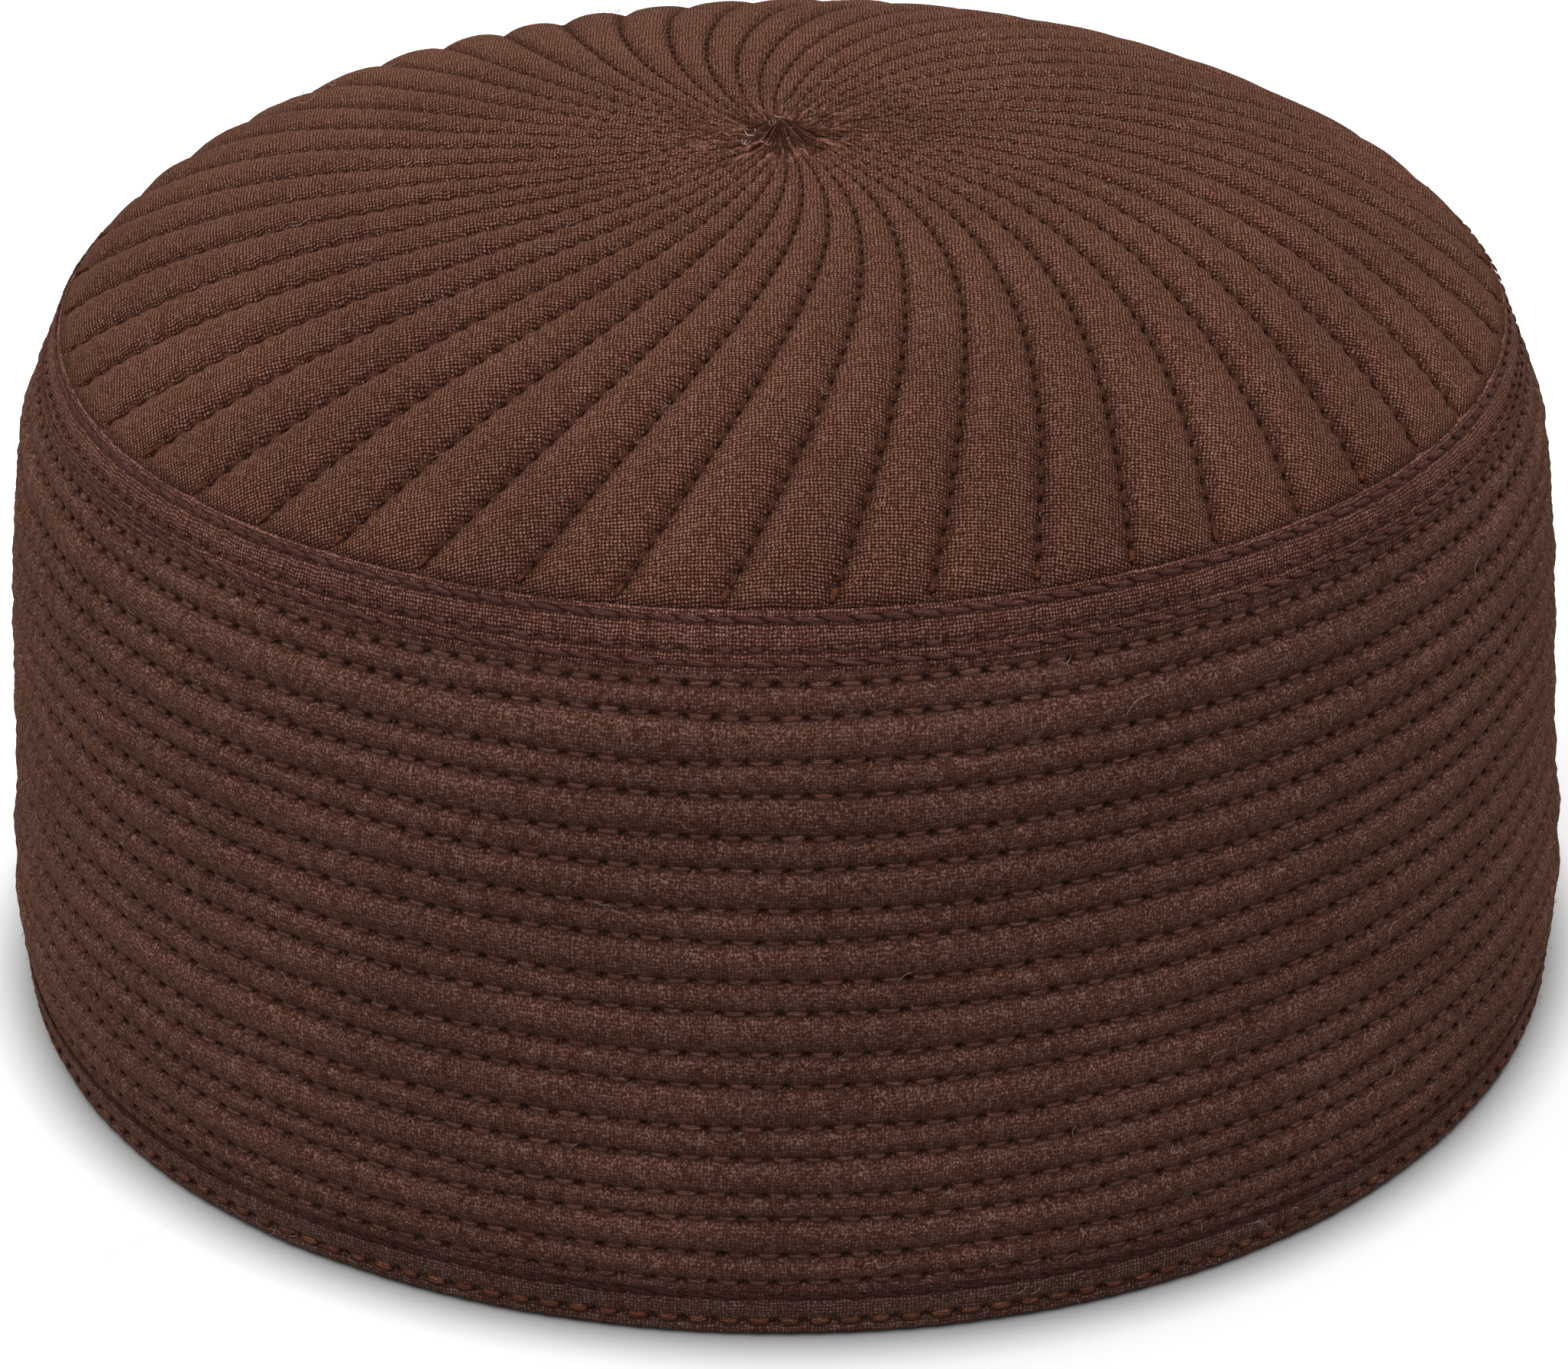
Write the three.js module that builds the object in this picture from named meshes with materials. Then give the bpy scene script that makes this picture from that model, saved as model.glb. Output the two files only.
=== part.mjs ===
// Quilted prayer cap, in millimetres with +Z up. It stands on its rim, with the origin at the middle
// of the rim. A padded crown of swirling ribs is sewn to a padded wall of level channels. A flat welt
// covers that seam, and a turned hem closes the rim.
import * as THREE from "three";

// Overall sizes
const outsideWidth = 190; // across the puffed channels where the wall is widest
const wallHeight = 84.8; // from the rim to the seam under the crown
const crownInset = 9.5; // how far the wall draws in, in radius, from its widest row to the seam
const crownRise = 18.9; // from the seam to the stitched lines in the middle of the crown
const crownFullness = 3.4; // 2 is a plain dome, more is flatter in the middle and rounder at the edge

// Cloth and wadding
const stitchedThickness = 2.2; // where a stitched line presses both cloths together
const channelPuff = 0.9; // how far a wide channel of the wall stands above its stitched lines
const ribPuff = 1.4; // how far a rib of the crown stands above its stitched lines
const seamGap = 0.3; // between pieces that are sewn to each other

// Crown pattern
const ribCount = 48;
const swirlTurn = 36; // degrees that a stitched line turns from the middle to the seam
const columnsPerRib = 3; // one on the stitched line, the others on the rib

// Welt and hem
const weltHeight = 5.2; // from the crown's seam down to the welt's lower edge
const weltPuff = 0.5;
const hemHeight = 5.6; // from the rim up to the fold
const hemThickness = 3;
const hemPuff = 0.5;
const rimRounding = 0.5; // radius worn on the rim's outer edge

const wallColumns = 60; // flat facets round the wall
const clothRoughness = 0.95;
const browns = { crown: "#5b3a2a", welt: "#573628", wall: "#553627", hem: "#4f3226" };

const widestRadius = outsideWidth / 2 - channelPuff;
const seamRadius = widestRadius - crownInset;

// The wall's outline. height is a share of the wall's height, drawnIn a share of crownInset.
const wallOutline = [
  { height: 0, drawnIn: 0.07 },
  { height: 0.1, drawnIn: 0 },
  { height: 0.2, drawnIn: 0.01 },
  { height: 0.36, drawnIn: 0.14 },
  { height: 0.55, drawnIn: 0.22 },
  { height: 0.73, drawnIn: 0.345 },
  { height: 0.82, drawnIn: 0.45 },
  { height: 0.91, drawnIn: 0.68 },
  { height: 1, drawnIn: 1 },
];

// The wall's stitched rows, sewn in pairs. Both heights are shares of the wall's height.
const rowPairs = [
  { upper: 0.915, lower: 0.877 },
  { upper: 0.82, lower: 0.777 },
  { upper: 0.72, lower: 0.678 },
  { upper: 0.622, lower: 0.579 },
  { upper: 0.521, lower: 0.477 },
  { upper: 0.417, lower: 0.373 },
  { upper: 0.313, lower: 0.271 },
  { upper: 0.219, lower: 0.183 },
  { upper: 0.13, lower: 0.088 },
];
const fullChannel = 0.055; // a channel this tall, as a share of the wall's height, puffs fully

// The crown's rings. reach is a share of the seam's radius, puff a share of ribPuff.
const crownRings = [
  { reach: 0, puff: 0 },
  { reach: 0.06, puff: 0.1 },
  { reach: 0.15, puff: 0.3 },
  { reach: 0.28, puff: 0.5 },
  { reach: 0.42, puff: 0.7 },
  { reach: 0.56, puff: 0.85 },
  { reach: 0.7, puff: 0.95 },
  { reach: 0.82, puff: 1 },
  { reach: 0.91, puff: 1 },
  { reach: 0.97, puff: 0.8 },
];
const liningReaches = [0.8, 0.5, 0];

// Radius of the wall's stitched surface at a height.
function wallRadius(height) {
  const share = THREE.MathUtils.clamp(height / wallHeight, 0, 1);
  const above = Math.max(1, wallOutline.findIndex((station) => station.height >= share));
  const [low, high] = [wallOutline[above - 1], wallOutline[above]];
  const along = (share - low.height) / (high.height - low.height);
  return widestRadius - crownInset * THREE.MathUtils.lerp(low.drawnIn, high.drawnIn, along);
}

// Outward direction of the wall at a height, in the plane of the axis.
function wallNormal(height) {
  const step = wallHeight / 100;
  const upper = Math.min(height + step, wallHeight);
  const lower = Math.max(height - step, 0);
  const lean = (wallRadius(upper) - wallRadius(lower)) / (upper - lower);
  return new THREE.Vector2(1, -lean).normalize();
}

// A point that stands a distance out from the wall's stitched surface.
function wallPoint(height, out) {
  return new THREE.Vector2(wallRadius(height), height).addScaledVector(wallNormal(height), out);
}

// Outward direction of the crown's stitched surface at a share of its radius.
function crownNormal(reach) {
  const slope = (crownFullness * crownRise * reach ** (crownFullness - 1)) / seamRadius;
  return new THREE.Vector2(slope, 1).normalize();
}

function crownPoint(reach, out) {
  const height = wallHeight + crownRise * (1 - reach ** crownFullness);
  return new THREE.Vector2(seamRadius * reach, height).addScaledVector(crownNormal(reach), out);
}

// The joint under the crown: across runs out of the cap there, along runs down its surface.
const seam = new THREE.Vector2(seamRadius, wallHeight);
const across = crownNormal(1).add(wallNormal(wallHeight)).normalize();
const along = new THREE.Vector2(across.y, -across.x);

// A point of that joint, sunk below the surface, on the crown's side (-1) or the welt's side (1).
// The crown's side leaves room for the flat facets of the welt's inner edge.
function seamPoint(side, sunk) {
  const facetRoom = side < 0 ? seamRadius * (1 - Math.cos(Math.PI / wallColumns)) : 0;
  const offset = side * (seamGap / 2 + facetRoom);
  return seam.clone().addScaledVector(along, offset).addScaledVector(across, -sunk);
}

// Puffed points between two stitched lines, from the upper to the lower: two on a tall channel.
function channelPoints(upper, lower, puff) {
  const height = upper - lower;
  const fill = Math.min(1, height / (fullChannel * wallHeight));
  const shares = fill > 0.85 ? [0.28, 0.72] : [0.5];
  return shares.map((share) => wallPoint(upper - height * share, puff * fill));
}

function turned(outline, columns) {
  const closed = [...outline, outline[0]].reverse();
  return new THREE.LatheGeometry(closed, columns).rotateX(Math.PI / 2);
}

function sewnPiece(name, geometry, colour) {
  const material = new THREE.MeshStandardMaterial({
    color: colour,
    roughness: clothRoughness,
    metalness: 0,
  });
  const mesh = new THREE.Mesh(geometry, material);
  mesh.name = name;
  return mesh;
}

// The crown is turned from the middle out and back along the lining. Each column of points is then
// swung round to follow its stitched line, and lifted if it lies on a rib.
function makeCrown() {
  const outer = crownRings.map((ring) => ({ ...ring, point: crownPoint(ring.reach, 0) }));
  const edge = [0, stitchedThickness].map((sunk) => ({ reach: 1, puff: 0, point: seamPoint(-1, sunk) }));
  const lining = liningReaches.map((reach) => ({
    reach,
    puff: 0,
    point: crownPoint(reach, -stitchedThickness),
  }));
  const rings = [...outer, ...edge, ...lining].reverse();
  const columns = ribCount * columnsPerRib;
  const geometry = new THREE.LatheGeometry(rings.map((ring) => ring.point), columns);
  const position = geometry.getAttribute("position");
  for (let index = 0; index < position.count; index++) {
    const ring = rings[index % rings.length];
    const column = Math.floor(index / rings.length) % columns;
    const onRib = column % columnsPerRib !== 0;
    const lift = onRib ? ribPuff * ring.puff : 0;
    const place = ring.point.clone().addScaledVector(crownNormal(ring.reach), lift);
    const angle = (column / columns) * 2 * Math.PI - THREE.MathUtils.degToRad(swirlTurn) * ring.reach;
    position.setXYZ(index, place.x * Math.cos(angle), place.x * Math.sin(angle), place.y);
  }
  return sewnPiece("crown", geometry, browns.crown);
}

function makeWelt() {
  const bottom = wallHeight - weltHeight;
  const middle = wallHeight - weltHeight / 2;
  const outline = [
    seamPoint(1, 0),
    wallPoint(wallHeight - weltHeight * 0.2, weltPuff),
    wallPoint(wallHeight - weltHeight * 0.8, weltPuff),
    wallPoint(bottom + seamGap / 2, 0),
    wallPoint(bottom + seamGap / 2, -stitchedThickness),
    wallPoint(middle, -stitchedThickness),
    seamPoint(1, stitchedThickness),
  ];
  return sewnPiece("top_welt", turned(outline, wallColumns), browns.welt);
}

function makeWall() {
  const top = wallHeight - weltHeight - seamGap / 2;
  const bottom = hemHeight + seamGap / 2;
  const rows = rowPairs.flatMap((pair) => [pair.upper * wallHeight, pair.lower * wallHeight]);
  const lines = [top, ...rows, bottom];
  const outside = [wallPoint(top, 0)];
  for (let index = 1; index < lines.length; index++) {
    outside.push(...channelPoints(lines[index - 1], lines[index], channelPuff));
    outside.push(wallPoint(lines[index], 0));
  }
  const inside = wallOutline
    .map((station) => station.height * wallHeight)
    .filter((height) => height > bottom + hemHeight / 2 && height < top - weltHeight / 2)
    .map((height) => wallPoint(height, -stitchedThickness));
  const outline = [
    ...outside,
    wallPoint(bottom, -stitchedThickness),
    ...inside,
    wallPoint(top, -stitchedThickness),
  ];
  return sewnPiece("side_band", turned(outline, wallColumns), browns.wall);
}

function makeHem() {
  const top = hemHeight - seamGap / 2;
  const rim = wallRadius(0);
  const outline = [
    wallPoint(top, 0),
    wallPoint(top * 0.8, hemPuff),
    wallPoint(top * 0.3, hemPuff),
    new THREE.Vector2(rim + hemPuff - rimRounding / 2, rimRounding / 2),
    new THREE.Vector2(rim + hemPuff - rimRounding, 0),
    new THREE.Vector2(rim - hemThickness, 0),
    wallPoint(top, -hemThickness),
  ];
  return sewnPiece("bottom_hem", turned(outline, wallColumns), browns.hem);
}

const cap = new THREE.Group();
cap.add(makeCrown(), makeWelt(), makeWall(), makeHem());

export default cap;
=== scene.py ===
"""A quilted brown prayer cap that stands on its rim.

The padded crown is stitched in ribs that swirl out from the middle. The padded wall is stitched in
level rows, in pairs. A flat welt covers the seam between them, and a turned hem closes the rim.
The cloth is a plain weave of brown cotton with rust and plum stitches and a little pale lint.
"""

import math

import bmesh
import bpy
import numpy as np
from bpy.props import (
    FloatProperty,
    FloatVectorProperty,
    IntProperty,
    PointerProperty,
)
from mathutils import Matrix, Vector


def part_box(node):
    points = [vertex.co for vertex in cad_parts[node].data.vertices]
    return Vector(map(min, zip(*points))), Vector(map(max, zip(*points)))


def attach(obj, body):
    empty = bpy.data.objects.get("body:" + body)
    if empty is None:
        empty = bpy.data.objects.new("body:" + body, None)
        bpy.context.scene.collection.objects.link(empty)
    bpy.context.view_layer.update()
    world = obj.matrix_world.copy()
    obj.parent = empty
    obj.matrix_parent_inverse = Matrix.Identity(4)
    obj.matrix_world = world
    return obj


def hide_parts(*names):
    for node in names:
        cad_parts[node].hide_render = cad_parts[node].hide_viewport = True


bl_info = {
    "name": "Quilted Prayer Cap",
    "version": (1, 0, 0),
    "blender": (4, 5, 0),
    "location": "View3D > Sidebar > Cap",
    "description": "Sews the cap's crown, wall, welt and hem, and sets its stage",
    "category": "Object",
}

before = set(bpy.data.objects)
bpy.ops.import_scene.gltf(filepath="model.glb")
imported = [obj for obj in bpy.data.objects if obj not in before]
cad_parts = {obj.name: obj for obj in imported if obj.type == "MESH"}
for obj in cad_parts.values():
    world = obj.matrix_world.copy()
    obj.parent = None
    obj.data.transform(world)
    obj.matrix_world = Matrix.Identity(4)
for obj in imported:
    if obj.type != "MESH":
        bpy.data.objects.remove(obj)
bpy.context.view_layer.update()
_, CROWN_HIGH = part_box("crown")
WELT_LOW, WELT_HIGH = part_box("top_welt")
_, WALL_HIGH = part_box("side_band")
_, HEM_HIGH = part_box("bottom_hem")

MM = 0.001
TURN = 2 * math.pi

# The wall's outline: a share of the wall's height, and how far it draws in there as a share of the whole.
WALL_OUTLINE = (
    (0.00, 0.070),
    (0.10, 0.000),
    (0.20, 0.010),
    (0.36, 0.140),
    (0.55, 0.220),
    (0.73, 0.345),
    (0.82, 0.450),
    (0.91, 0.680),
    (1.00, 1.000),
)

# The wall's stitched rows from the top down, sewn in pairs, as shares of the wall's height.
WALL_ROWS = (
    (0.915, 0.877),
    (0.820, 0.777),
    (0.720, 0.678),
    (0.622, 0.579),
    (0.521, 0.477),
    (0.417, 0.373),
    (0.313, 0.271),
    (0.219, 0.183),
    (0.130, 0.088),
)

# How full the crown's ribs are: a share of the seam's radius, and a share of the full rib.
RIB_FULLNESS = (
    (0.00, 0.00),
    (0.04, 0.16),
    (0.12, 0.34),
    (0.28, 0.52),
    (0.42, 0.70),
    (0.56, 0.85),
    (0.70, 0.95),
    (0.90, 0.97),
    (0.97, 0.78),
    (1.00, 0.15),
)

# Stitched rows of the welt, down from the seam, and of the hem, up from the rim, in millimetres: the row,
# the thread's width, how much of its space each stitch fills, its slant, and whether its holes show.
WELT_ROWS = (
    (0.95, 0.76, 1.35, -0.13, False),
    (3.85, 0.55, 0.62, 0.00, True),
    (5.20, 0.70, 1.35, -0.12, False),
)
HEM_ROWS = (
    (2.20, 1.10, 0.82, 0.00, True),
    (5.50, 0.55, 1.35, -0.12, False),
)

# Stitched rows and lines lie inside the frame's boxes, which reach the tops of the puffed cloth.
WALL_BOX_PUFF = 0.9 * MM  # from the wall's widest row out to its box
INSET_BOX_PUFF = 1.1 * MM  # how much less the crown is inset than the two boxes are
CROWN_BOX_PUFF = 0.5 * MM  # from the crown's lines in the middle up to its box

# How finely the pieces are meshed
ROW_RINGS = 6  # rings of faces on each channel of the wall
COLUMNS_PER_STITCH = 6  # columns of faces for each stitch round the wall
RINGS_PER_STITCH = 4  # rings of faces for each stitch along a line of the crown
COLUMNS_PER_RIB = 12
TRIM_RINGS = 16  # rings of faces on the outside of the welt and of the hem
EDGE_RINGS = 2  # rings of faces across the thickness of a piece
WALL_LINING_RINGS = 14
CROWN_LINING_RINGS = 8
TRIM_LINING_RINGS = 3
SAME_PLACE = 1e-7  # points nearer than this are one point

# Wavering, settling and gathering of the cloth
SETTLING = 0.35 * MM  # how far slow waves move the soft cloth
SLOW_WAVES = (70 * MM, 170 * MM)  # their shortest and longest lengths
ROW_WAVER = 0.16 * MM  # how far a wall row strays up and down
LINE_WAVER = 0.05  # how far a crown line strays to its sides, in ribs
HOLE_REACH = 0.6 * MM  # how far from its row a needle hole draws the cloth in
HOLE_LENGTH = 0.55 * MM  # how far along its row it does
GATHER_DEPTH = 0.17 * MM  # of the gathers that rise between needle holes
GATHER_REACH = 1.3 * MM
HOLE_KINDS = 4096  # needle holes of different depth before they repeat

# Sizes of the wall's quilting
WALL_GAP = 0.1 * MM  # between the wall's edges and the lines where the welt and the hem are sewn on
WALL_TIGHTENING = 0.5  # how much closer its rings of faces stand by the rows
FULL_CHANNEL = 4.7 * MM  # a channel this tall puffs fully
CHANNEL_FLATNESS = 2.3  # 2 is a round channel, more is flatter on top
WALL_FUZZ_AND_HIGHLIGHT = (0.78, 0.20)  # where on a channel loose fibres show most, as a painted highlight on its upward, lit part, and how far round it

# Sizes of the crown's quilting
CROWN_TIGHTENING = 0.55  # how much closer its columns of faces stand by the lines
RIB_FLATNESS = 2.4
FULL_RIB = 11 * MM  # width of a rib at the seam; a narrower rib has its painted crease shade narrower in proportion
CROWDED_RIB = 2.2 * MM  # a narrower rib has shallower needle holes
BARE_RIB = 1.8 * MM  # a narrower rib has no painted needle-hole shade in its colour
THREADLESS_RIB = 1.2 * MM  # a narrower rib has no threads
SEAM_CREASE = 1.2 * MM  # faces this near the seam have their painted crease shade along it
CROWN_FUZZ_AND_HIGHLIGHT = 0.2  # where on a rib loose fibres show most, as a painted highlight on its lit side, and how far round it
KNOT_HEIGHT = 2.3  # of the pinched knot in the middle, in millimetres
KNOT_WIDTH = 2.4 * MM
KNOT_FOLDS = 9  # gathers round the knot
KNOT_FOLDS_AT = 5 * MM  # distance from the middle where they are highest
MIDDLE_REACH = 9.5 * MM  # how far the lit strands run out from the middle

# Sizes of the welt and the hem, which are strips round the wall
STRIP_INSIDE = 0.05  # inner radius at which a strip is spun before it is placed on the wall
STRIP_DEPTH = 0.01  # from there to its outer radius
STRIP_TIGHTENING = 0.6
STRIP_ROUNDING = 0.8 * MM  # of both edges
FOLD_SHARE = 0.2  # share of a strip's height over which its fold laps the wall
FOLD_LAP = 0.3 * MM  # how far the fold reaches past the wall's edge
FOLD_OUT = 0.34 * MM  # how far it stands out there, at least
RIM_ROLL = 1.6 * MM  # height over which the hem rolls in at the floor
TRIM_CREASE = (0.25 * MM, 0.7 * MM)  # depth and reach of the crease along a row
FIRST_TRIM_ROW = 30  # rows of the welt and hem count on from here, after the wall's

# Marks in the "quilt" map of a place that no row or hole reaches
BETWEEN_HOLES = 0.5  # in stitches, the place on a row that is furthest from its needle holes
UNSEWN = 9  # in millimetres, a distance from the nearest row at which the row has no effect

# Sizes of the threads and the lint
STRAND_STEP = 3.0  # from one stitch to the next in the "strand" map
THREAD_FLATNESS = 0.22  # half a thread's thickness, as a share of its width
TACK_REACHES = (0.975, 0.994)  # where the last stitch of a crown line starts and ends
MIDDLE_STRANDS = 220
LINT_FIBRES = 900
LINT_ON_CROWN = 0.42  # share of them
MIDDLE_FIBRES = 12  # of them, the first lie by the crown's middle
THICK_FIBRES = 4  # of those, the first are long and thick

# The stage
FLOOR_REACH = 40.0  # from the cap to the floor's edges, far enough to hide them
FLOOR_GAP = 0.02 * MM  # between the floor and the rim, which never share a plane
LIGHT_AIM = (0, 0, 0.05)  # the point that the lights face


def length_setting(name, description, default):
    return FloatProperty(name=name, description=description, default=default, unit="LENGTH")


def angle_setting(name, description, degrees):
    return FloatProperty(
        name=name, description=description, default=math.radians(degrees), subtype="ANGLE")


def colour_setting(name, description, default):
    return FloatVectorProperty(name=name, description=description, default=default, subtype="COLOR")


class CapShape(bpy.types.PropertyGroup):
    """The cap's form and its quilting."""

    channel_puff: length_setting(
        "Channel puff", "How far a wide channel of the wall stands above its rows", 0.95 * MM)
    widest_radius: length_setting(
        "Widest radius", "Radius of the wall's stitched rows where it is widest",
        WALL_HIGH.x - WALL_BOX_PUFF)
    crown_inset: length_setting(
        "Crown inset", "How far the wall draws in from its widest row to the seam",
        WALL_HIGH.x - CROWN_HIGH.x - INSET_BOX_PUFF)
    seam_height: length_setting("Seam height", "Height of the seam under the crown", WELT_HIGH.z)
    crown_rise: length_setting(
        "Crown rise", "Height of the crown's middle above its seam",
        CROWN_HIGH.z - WELT_HIGH.z - CROWN_BOX_PUFF)
    crown_fullness: FloatProperty(
        name="Crown fullness", description="2 is a plain dome, more is flatter in the middle",
        default=3.15)
    cloth_thickness: length_setting(
        "Cloth thickness", "Both cloths together where a stitched row presses them", 2.2 * MM)
    rib_puff: length_setting(
        "Rib puff", "How far a rib of the crown stands above its stitched lines", 1.12 * MM)
    rib_count: IntProperty(name="Ribs", description="Ribs round the crown", default=48)
    swirl: angle_setting("Swirl", "How far a stitched line turns from the middle to the seam", 36)
    first_line: angle_setting("First line", "Where one stitched line starts, seen from above", -51)
    wall_stitches: IntProperty(name="Wall stitches", description="Stitches round a row", default=175)
    line_stitches: IntProperty(name="Line stitches", description="Stitches along a crown line", default=37)
    welt_height: length_setting(
        "Welt height", "From the seam down to the welt's fold", WELT_HIGH.z - WELT_LOW.z)
    welt_puff: length_setting("Welt puff", "How far the welt stands above the wall", 0.5 * MM)
    hem_height: length_setting("Hem height", "From the rim up to the hem's fold", HEM_HIGH.z)
    hem_puff: length_setting("Hem puff", "How far the hem stands above the wall", 0.5 * MM)
    rim_tuck: length_setting("Rim tuck", "How far the hem rolls in where it meets the floor", 0.5 * MM)
    shoulder_droop: length_setting(
        "Shoulder droop", "How far the soft crown sinks at its left shoulder", 1.8 * MM)
    hem_thickness: length_setting("Hem thickness", "The turned cloths of the hem together", 3 * MM)


class CapCloth(bpy.types.PropertyGroup):
    """Colours and yarns."""

    crown_yarn: colour_setting("Crown yarn", "Lit tops of the crown's yarns", (0.404, 0.189, 0.136))
    wall_yarn: colour_setting("Wall yarn", "Lit tops of the wall's yarns", (0.367, 0.189, 0.146))
    welt_yarn: colour_setting("Welt yarn", "Lit tops of the welt's yarns", (0.495, 0.236, 0.186))
    hem_yarn: colour_setting("Hem yarn", "Lit tops of the hem's yarns", (0.330, 0.193, 0.168))
    # Painted shade: the yarn as it looks in shade in the gaps of the weave, a darker, more saturated copy of
    # the lit tops
    shaded_gap_yarn: colour_setting("Deep yarn", "Yarn in the gaps of the weave", (0.040, 0.013, 0.008))
    row_thread: colour_setting("Row thread", "Thread of the wall's rows", (0.330, 0.165, 0.125))
    # The crown's rust thread, painted darker as in the shade of the creases that its lines lie in
    crease_shaded_thread: colour_setting("Line thread", "Thread of the crown's lines", (0.150, 0.060, 0.035))
    tack_thread: colour_setting(
        "Tack thread", "The last stitch of each line, at the seam", (0.300, 0.100, 0.050))
    plum_thread: colour_setting("Plum thread", "Thread of the welt", (0.235, 0.110, 0.100))
    fold_thread: colour_setting(
        "Fold thread", "Dark thread along the hem's fold", (0.085, 0.042, 0.046))
    hem_thread: colour_setting("Hem thread", "Thread of the hem's row", (0.340, 0.135, 0.085))
    middle_thread: colour_setting(
        "Middle thread", "Strands gathered round the crown's middle", (0.360, 0.140, 0.070))
    # Painted shade: the thread as it looks in shade between its lit fibres
    thread_gap_shade: colour_setting("Deep thread", "Thread between its lit fibres", (0.055, 0.017, 0.010))
    lint_colour: colour_setting("Lint", "Loose pale fibres", (0.50, 0.40, 0.36))
    yarn_across: length_setting("Yarn across", "From one upright yarn to the next", 0.41 * MM)
    yarn_up: length_setting("Yarn up", "From one level yarn to the next", 0.43 * MM)


class CapStage(bpy.types.PropertyGroup):
    """Camera, light and floor."""

    aim_height: length_setting(
        "Aim height", "Height of the point that the camera looks at", 31.75 * MM)
    aim_side: length_setting(
        "Aim side", "How far to the right of the cap's middle the camera looks", -0.1 * MM)
    distance: length_setting("Distance", "From the camera to that point", 0.65)
    elevation: angle_setting("Elevation", "How far the camera looks down", 27.64)
    roll: angle_setting("Roll", "How far the camera leans", -0.5)
    lens: FloatProperty(name="Lens", description="Focal length in millimetres", default=121.8)
    side_power: FloatProperty(
        name="Side light", description="Power of the soft box on the left", default=1.6)
    front_power: FloatProperty(
        name="Front light", description="Power of the soft box behind the camera", default=4.4)
    back_power: FloatProperty(
        name="Back light", description="Power of the soft box at the back on the right", default=1.5)
    room_level: FloatProperty(
        name="Room light", description="Light from the white room at the cap's height", default=0.22)
    room_climb: FloatProperty(
        name="Room climb", description="How much more light comes from straight above", default=0.75)
    floor_glare: FloatProperty(
        name="Floor glare", description="How far the pale floor is overexposed", default=1.58)


def shape():
    return bpy.context.scene.cap_shape


def cloth():
    return bpy.context.scene.cap_cloth


def smooth_curve(places, table):
    """Values of a smooth curve through the table's rows, each a place and a value."""
    stations, values = np.array(table).T
    slopes = np.gradient(values, stations)
    piece = np.clip(np.searchsorted(stations, places) - 1, 0, len(stations) - 2)
    width = stations[piece + 1] - stations[piece]
    share = np.clip((places - stations[piece]) / width, 0, 1)
    rise = values[piece + 1] - values[piece]
    start = slopes[piece] * width - rise
    end = rise - slopes[piece + 1] * width
    return values[piece] + share * rise + share * (1 - share) * (start * (1 - share) + end * share)


def drift(seed, line, turn, waves=(3, 17)):
    """A smooth random drift of about -1 to 1 along many closed lines; turn is a share of the way round."""
    counts = np.arange(*waves)
    phases = np.random.default_rng(seed).uniform(0, TURN, (200, len(counts)))
    waving = np.sin(TURN * counts * np.asarray(turn)[..., None] + phases[line])
    return waving.mean(-1) * math.sqrt(len(counts) / 2)


def unevenness(points, seed, shortest, longest, waves=24):
    """Random waves through space of about -1 to 1, with lengths from shortest to longest."""
    draw = np.random.default_rng(seed)
    headings = draw.normal(size=(waves, 3))
    headings /= np.linalg.norm(headings, axis=1, keepdims=True)
    pace = TURN * headings / draw.uniform(shortest, longest, (waves, 1))
    return np.sin(points @ pace.T + draw.uniform(0, TURN, waves)).mean(-1) * math.sqrt(waves / 2)


def settled(points):
    """Points moved as a soft cap settles: in slow waves, level at the rim, with a low left shoulder."""
    look = shape()
    shift = SETTLING * np.stack([unevenness(points, 200 + axis, *SLOW_WAVES) for axis in range(3)], -1)
    lift = np.clip(points[..., 2] / look.seam_height, 0, 1)
    to_left = np.clip(-points[..., 0] / look.widest_radius, 0, 1)
    shift[..., 2] = shift[..., 2] * lift - look.shoulder_droop * to_left**6 * lift**4
    return points + shift


def bell(distance, width):
    """1 at no distance, falling to almost nothing at twice the width."""
    return np.exp(-((distance / width) ** 2))


def from_whole(values):
    """How far each value is from the nearest whole number."""
    return values - np.round(values)


# The wall


def wall_radius(height):
    """Radius of the wall's stitched rows at a height."""
    look = shape()
    share = np.clip(height / look.seam_height, 0, 1)
    return look.widest_radius - look.crown_inset * smooth_curve(share, WALL_OUTLINE)


def wall_lean(height):
    """Outward direction of the wall at a height, as its radial and upright parts."""
    step = 0.5 * MM
    lean = (wall_radius(height + step) - wall_radius(height - step)) / (2 * step)
    length = np.sqrt(1 + lean**2)
    return 1 / length, -lean / length


def wall_place(turn, height, out):
    """Points on the wall, out from its stitched rows, and the wall's outward directions there."""
    radial, upright = wall_lean(height)
    radius = wall_radius(height) + radial * out
    cos, sin = np.cos(TURN * turn), np.sin(TURN * turn)
    points = np.stack([radius * cos, radius * sin, height + upright * out], -1)
    outward = np.stack([radial * cos, radial * sin, upright], -1)
    return points, outward


def wall_lines():
    """Heights of the lines between the wall's channels, from the hem's fold up to the welt's."""
    look = shape()
    rows = [share * look.seam_height for pair in WALL_ROWS for share in pair]
    return np.array(sorted(rows + [look.hem_height, look.seam_height - look.welt_height]))


def row_start(line):
    """Where a row's first stitch starts, in stitches. It falls on a column of faces."""
    steps = np.random.default_rng(5).integers(0, COLUMNS_PER_STITCH, 40)
    return steps[line] / COLUMNS_PER_STITCH


def row_height(line, turn):
    """Height of a wall row as it wavers round the cap."""
    return wall_lines()[line] + ROW_WAVER * drift(11, line, turn, (3, 22))


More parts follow.
